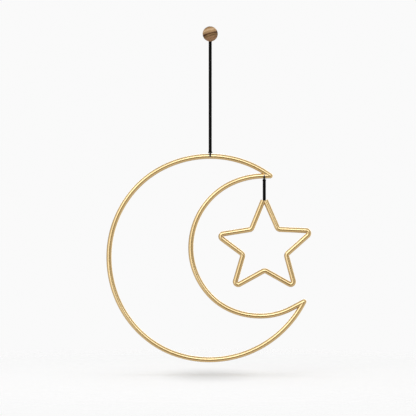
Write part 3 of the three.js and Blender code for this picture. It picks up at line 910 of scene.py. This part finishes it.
def screw_rows():
    """Two threaded ends and a plain shank between them, where the cord hangs."""
    count = round((SCREW_TIP_Y - SCREW_FRONT_Y) / SCREW_STEP)
    rows = []
    for i in range(count):
        y = SCREW_FRONT_Y + (SCREW_TIP_Y - SCREW_FRONT_Y) * i / count
        plain = smoothstep(y, PLAIN_SHANK[0] - THREAD_RUNOUT, PLAIN_SHANK[0]) * (
            1 - smoothstep(y, PLAIN_SHANK[1], PLAIN_SHANK[1] + THREAD_RUNOUT))
        taper = min(1, (SCREW_TIP_Y - y) / SCREW_POINT_LENGTH,
                    FRONT_SHARE + (y - SCREW_FRONT_Y) * FRONT_SLOPE)
        radii = []
        for k in range(SCREW_SIDES):
            phase = (y / THREAD_PITCH - k / SCREW_SIDES) % 1
            crest = max(0, 1 - abs(phase - 0.5) / THREAD_CREST)
            threaded = THREAD_ROOT_RADIUS + (SCREW_RADIUS - THREAD_ROOT_RADIUS) * crest
            full = threaded + (SCREW_RADIUS - SHANK_UNDERSIZE - threaded) * plain
            radii.append(full * max(POINT_SHARE, taper))
        rows.append((y, radii))
    return rows + [(SCREW_TIP_Y, None)]


knob_rows = [(y, [radius] * KNOB_SIDES if radius else None) for radius, y in knob_profile()]
knob_mesh = turned_mesh("lathe", knob_rows, KNOB_SIDES)
knob = finish_piece(knob_mesh, "turned_ball_knob", "wood")
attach(knob, "root")
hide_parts("wooden_knob")

screw_mesh = turned_mesh("screw", screw_rows(), SCREW_SIDES, close_first=True)
screw = finish_piece(screw_mesh, "threaded_hanger_screw", "steel")
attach(screw, "root")
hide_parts("hanger_screw")


# Stage: a pale floor that fades out into the white round the object, soft lamps and the world

WHITE = 0.955
FLOOR_Z = -414
FLOOR_TONE = 0.913
FLOOR_SIZE_METRES = 2
FLOOR_CLEAR_METRES = (0.2, 0.6)
# The painted shadow under the moon, in the floor's colour: how far it reaches sideways and to
# the front and back, how far it lies to the side, and how much darker it is
SHADOW_REACH = (78, 165)
SHADOW_SIDE = -3
SHADOW_DEPTH = 0.2


def grey(level):
    return (level, level, level)


def make_floor():
    """Matt and pale, with a painted shadow under the moon, and fading out into the white round it."""
    material, tree, shader = new_material("pale_floor")
    place = tree.coordinates("Object")

    def faded(vector, reach):
        return tree.span(tree.vector("LENGTH", vector), reach, (0, 1), "SMOOTHSTEP")

    # The floor's colour is darker in a soft oval under the moon: a painted shadow.
    from_painted_shadow = tree.vector("SUBTRACT", place, metres((SHADOW_SIDE, 0, 0)))
    reach_x, reach_y, _ = metres((*SHADOW_REACH, 0))
    painted_shadow = faded(tree.scaled(from_painted_shadow, 1 / reach_x, 1 / reach_y, 1), (0, 1))
    tree.feed(shader, {
        "Base Color": tree.mix(painted_shadow, grey(FLOOR_TONE * (1 - SHADOW_DEPTH)), grey(FLOOR_TONE)),
        "Roughness": 1,
        "Specular IOR Level": 0,
    })
    clear = tree.add("ShaderNodeBsdfTransparent").outputs[0]
    shown = tree.shaders(faded(place, FLOOR_CLEAR_METRES), shader.outputs[0], clear)
    tree.feed(tree.nodes["Material Output"], {"Surface": shown})
    return material


bm = bmesh.new()
bmesh.ops.create_grid(bm, x_segments=1, y_segments=1, size=FLOOR_SIZE_METRES / 2)
floor = placed("floor", mesh_of(bm, "floor"))
floor.data.materials.append(make_floor())
floor.location = metres((0, HANG_Y, FLOOR_Z))
floor.visible_glossy = False

# For each lamp, its azimuth and elevation in degrees, its distance in metres, half of the angle in
# degrees that it fills, and its radiance
LAMPS = {
    "key": (-16, 24, 2.4, 32, 1.15),
    "back_key": (164, 24, 2.4, 32, 0.5),
    "overhead": (0, 90, 2.3, 24, 2.1),
}
LAMPS_AIM_METRES = Vector((0, 0, -0.25))


def bearing(azimuth, elevation):
    """The direction from the object to a point of the studio. The azimuth is 0 at the camera and
    grows to the right."""
    a, e = math.radians(azimuth), math.radians(elevation)
    return Vector((math.sin(a) * math.cos(e), -math.cos(a) * math.cos(e), math.sin(e)))


for name, (azimuth, elevation, distance, half_angle, radiance) in LAMPS.items():
    light = bpy.data.lights.new(name, "AREA")
    light.shape = "DISK"
    light.size = 2 * distance * math.tan(math.radians(half_angle))
    light.energy = radiance * math.pi * math.pi * light.size ** 2 / 4
    lamp = placed(name, light)
    toward = bearing(azimuth, elevation)
    lamp.location = LAMPS_AIM_METRES + toward * distance
    lamp.rotation_euler = (-toward).to_track_quat("-Z", "Y").to_euler()
    lamp.visible_camera = False
    lamp.visible_glossy = False

# The world lights the object evenly. The camera sees it white. Gloss sees the white with soft round
# stretches of the studio in it, the same in front and behind: softboxes and, where the amount is
# below 0, dim warm stretches. Each has its azimuth, elevation, amount and sharpness.
WORLD_LEVEL = 0.55
STRETCHES = (
    (-14, -19, -0.94, 8.5),
    (36, 25, -0.96, 6),
    (0, 26, 4.7, 44),
    (-34, 27, 3.6, 50),
    (-29, -6, 2.1, 26),
    (29, 22, 3.6, 46),
)
SOFTBOX = Vector((0.96, 1.1, 1.32))
DIM = Vector((0.92, 1.0, 1.12))
DARKEST = (0.05, 0.03, 0.01)

world = bpy.data.worlds.new("world")
bpy.context.scene.world = world
tree = Tree(world)
x, y, z = tree.add("ShaderNodeSeparateXYZ", {0: tree.coordinates("Generated")}).outputs
in_front = tree.math("MULTIPLY", tree.math("SIGN", y), -1)
turned = tree.add("ShaderNodeCombineXYZ", {
    0: tree.math("MULTIPLY", x, in_front),
    1: tree.math("MULTIPLY", y, in_front),
    2: z,
}).outputs[0]
level = grey(WHITE)
for azimuth, elevation, amount, sharpness in STRETCHES:
    off = tree.math("SUBTRACT", tree.vector("DOT_PRODUCT", turned, bearing(azimuth, elevation)), 1)
    near = tree.math("EXPONENT", tree.math("MULTIPLY", off, sharpness))
    level = tree.vector("MULTIPLY_ADD", near, (DIM if amount < 0 else SOFTBOX) * amount, level)
level = tree.vector("MAXIMUM", level, DARKEST)

lighting = tree.nodes["Background"]
tree.feed(lighting, {"Color": grey(1), "Strength": WORLD_LEVEL})
mirrored = tree.add("ShaderNodeBackground", {"Color": level})
shown = tree.add("ShaderNodeBackground", {"Color": grey(WHITE)})
rays = tree.add("ShaderNodeLightPath").outputs
around = tree.shaders(rays["Is Glossy Ray"], lighting.outputs[0], mirrored.outputs[0])
seen = tree.math("MAXIMUM", rays["Is Camera Ray"], rays["Is Transmission Ray"])
around = tree.shaders(seen, around, shown.outputs[0])
tree.feed(tree.nodes["World Output"], {"Surface": around})

bpy.context.scene.view_settings.view_transform = "Standard"
